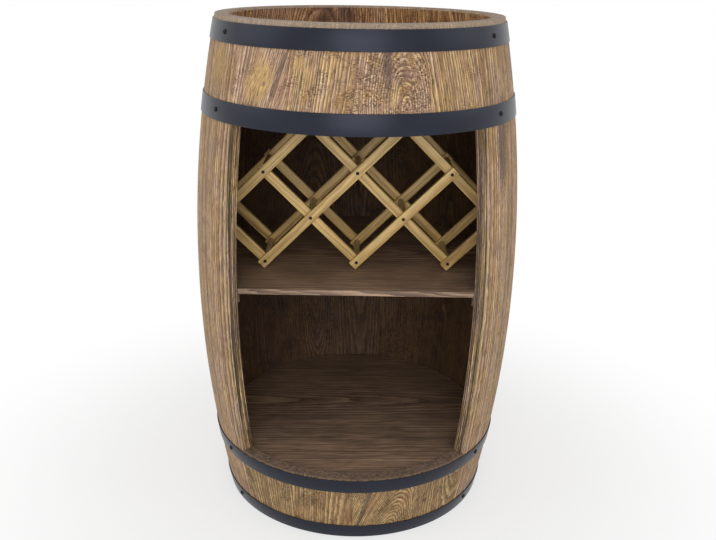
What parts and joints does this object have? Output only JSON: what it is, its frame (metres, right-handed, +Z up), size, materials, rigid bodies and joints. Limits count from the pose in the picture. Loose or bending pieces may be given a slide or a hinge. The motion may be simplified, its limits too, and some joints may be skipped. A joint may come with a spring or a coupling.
{
  "type": "barrel bar cabinet",
  "caption": "Upright wooden barrel with an open front, iron-coloured hoops, a shelf, a floor board and a diagonal lattice rack for lying bottles.",
  "frame": {"origin": "on the floor, on the axis of the barrel, at the centre of the ring of stave ends", "axes": "+Z up along the axis of the barrel, the open front faces -Y, +X to the right seen from the front"},
  "size_m": [0.4958, 0.4815, 0.75],
  "materials": {
    "barrel_wood": "brushed, stained softwood",
    "board_wood": "brushed, dark stained boards",
    "rack_pine": "planed golden pine, satin",
    "hoop_steel": "satin blue-black paint",
    "screw_black": "black, satin"
  },
  "bodies": {
    "root": {"bottom_head_board_1": "board_wood", "bottom_head_board_2": "board_wood", "bottom_head_board_3": "board_wood", "bottom_head_board_4": "board_wood", "bottom_hoop": "hoop_steel", "cleat_screws": "screw_black", "floor_board": "board_wood", "floor_cleat_1": "board_wood", "floor_cleat_2": "board_wood", "floor_cleat_3": "board_wood", "floor_cleat_4": "board_wood", "front_falling_slat_1": "rack_pine", "front_falling_slat_2": "rack_pine", "front_falling_slat_3": "rack_pine", "front_falling_slat_4": "rack_pine", "front_rising_slat_1": "rack_pine", "front_rising_slat_2": "rack_pine", "front_rising_slat_3": "rack_pine", "front_rising_slat_4": "rack_pine", "full_stave_01": "barrel_wood", "full_stave_02": "barrel_wood", "full_stave_03": "barrel_wood", "full_stave_04": "barrel_wood", "full_stave_05": "barrel_wood", "full_stave_06": "barrel_wood", "full_stave_07": "barrel_wood", "full_stave_08": "barrel_wood", "full_stave_09": "barrel_wood", "full_stave_10": "barrel_wood", "full_stave_11": "barrel_wood", "hoop_screws": "screw_black", "lower_hoop": "hoop_steel", "lower_stave_1": "barrel_wood", "lower_stave_2": "barrel_wood", "lower_stave_3": "barrel_wood", "lower_stave_4": "barrel_wood", "rack_rods": "rack_pine", "rack_screws": "screw_black", "rear_falling_slat_1": "rack_pine", "rear_falling_slat_2": "rack_pine", "rear_falling_slat_3": "rack_pine", "rear_falling_slat_4": "rack_pine", "rear_rising_slat_1": "rack_pine", "rear_rising_slat_2": "rack_pine", "rear_rising_slat_3": "rack_pine", "rear_rising_slat_4": "rack_pine", "shelf": "board_wood", "shelf_cleat_1": "board_wood", "shelf_cleat_2": "board_wood", "shelf_cleat_3": "board_wood", "top_head_board_1": "board_wood", "top_head_board_2": "board_wood", "top_head_board_3": "board_wood", "top_head_board_4": "board_wood", "top_hoop": "hoop_steel", "upper_hoop": "hoop_steel", "upper_stave_1": "barrel_wood", "upper_stave_2": "barrel_wood", "upper_stave_3": "barrel_wood", "upper_stave_4": "barrel_wood"}
  },
  "joints": []
}
